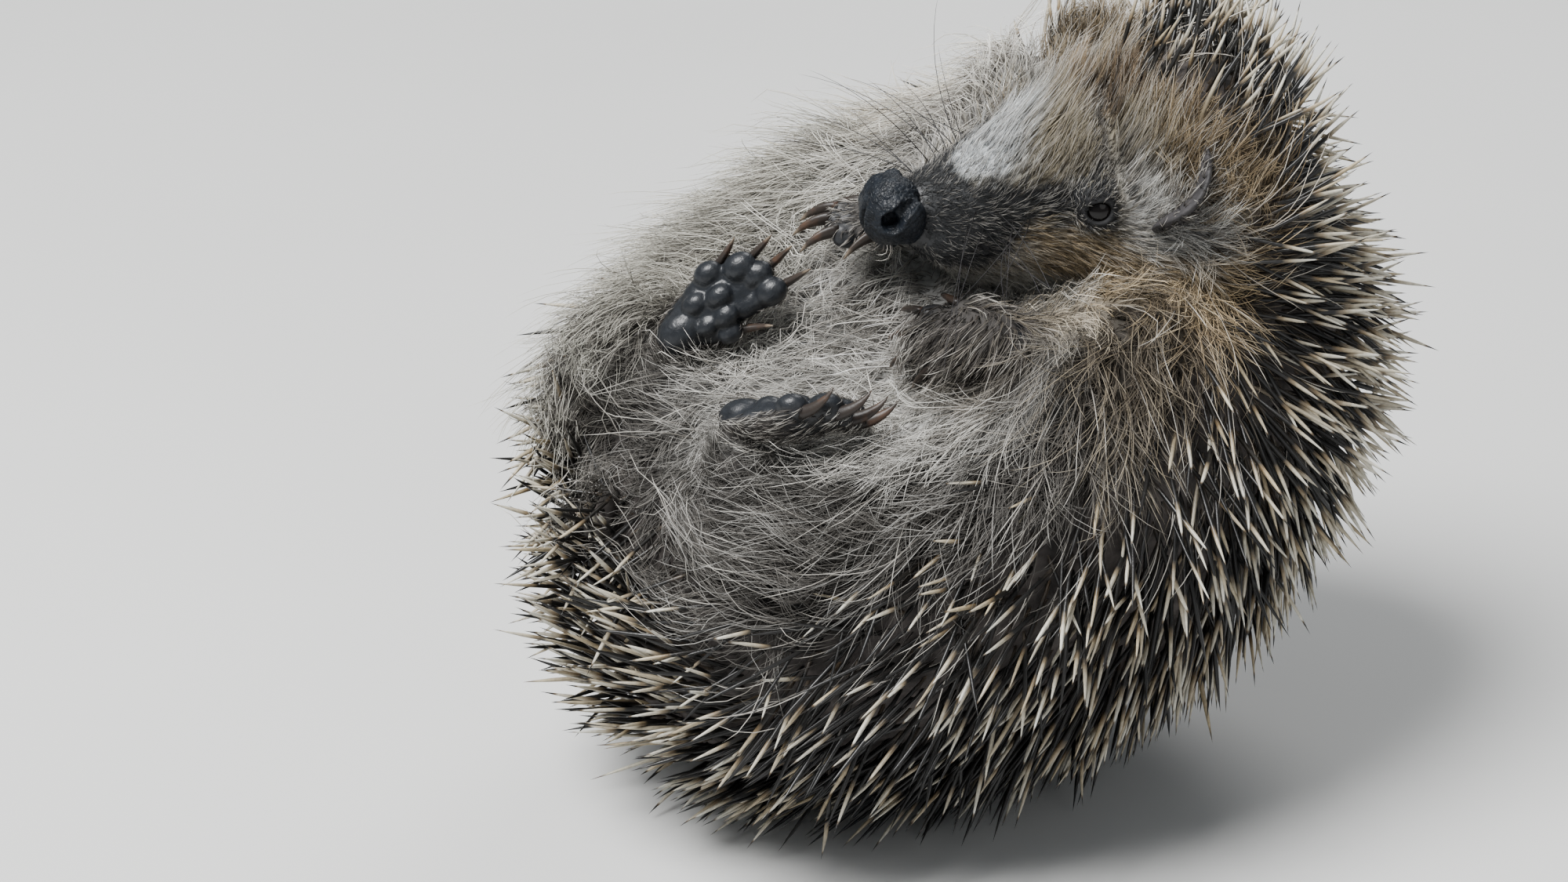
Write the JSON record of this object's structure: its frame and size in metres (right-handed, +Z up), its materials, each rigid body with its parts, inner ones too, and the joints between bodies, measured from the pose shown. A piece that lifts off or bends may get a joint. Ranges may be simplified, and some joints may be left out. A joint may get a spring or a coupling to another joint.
{
  "type": "hedgehog model",
  "caption": "Life-size European hedgehog lying half curled on its quilled back, belly, feet and face turned up.",
  "frame": {"origin": "bottom centre of the model's bounding box, on the surface that the back rests on", "axes": "+X towards the crown of the head, +Y away from the open side of the belly, +Z up"},
  "size_m": [0.151, 0.127, 0.1425],
  "materials": {
    "quills": "banded quills, satin",
    "fur": "coarse hair, matte",
    "skin": "bare skin, satin",
    "nose": "moist, glossy",
    "eye": "wet, glossy",
    "claw": "horn, satin"
  },
  "bodies": {
    "root": {"claw_fore_left_1": "claw", "claw_fore_left_2": "claw", "claw_fore_left_3": "claw", "claw_fore_left_4": "claw", "claw_fore_left_5": "claw", "claw_fore_right_1": "claw", "claw_fore_right_2": "claw", "claw_fore_right_3": "claw", "claw_fore_right_4": "claw", "claw_fore_right_5": "claw", "claw_hind_left_1": "claw", "claw_hind_left_2": "claw", "claw_hind_left_3": "claw", "claw_hind_left_4": "claw", "claw_hind_left_5": "claw", "claw_hind_right_1": "claw", "claw_hind_right_2": "claw", "claw_hind_right_3": "claw", "claw_hind_right_4": "claw", "claw_hind_right_5": "claw", "ear_left": "skin", "ear_right": "skin", "eye_left": "eye", "eye_right": "eye", "foreleg_left": "fur", "foreleg_right": "fur", "forepaw_left": "skin", "forepaw_right": "skin", "head": "fur", "hindleg_left": "fur", "hindleg_right": "fur", "hindpaw_left": "skin", "hindpaw_right": "skin", "neck": "quills", "nose": "nose", "tail": "fur", "trunk": "quills"}
  },
  "joints": []
}
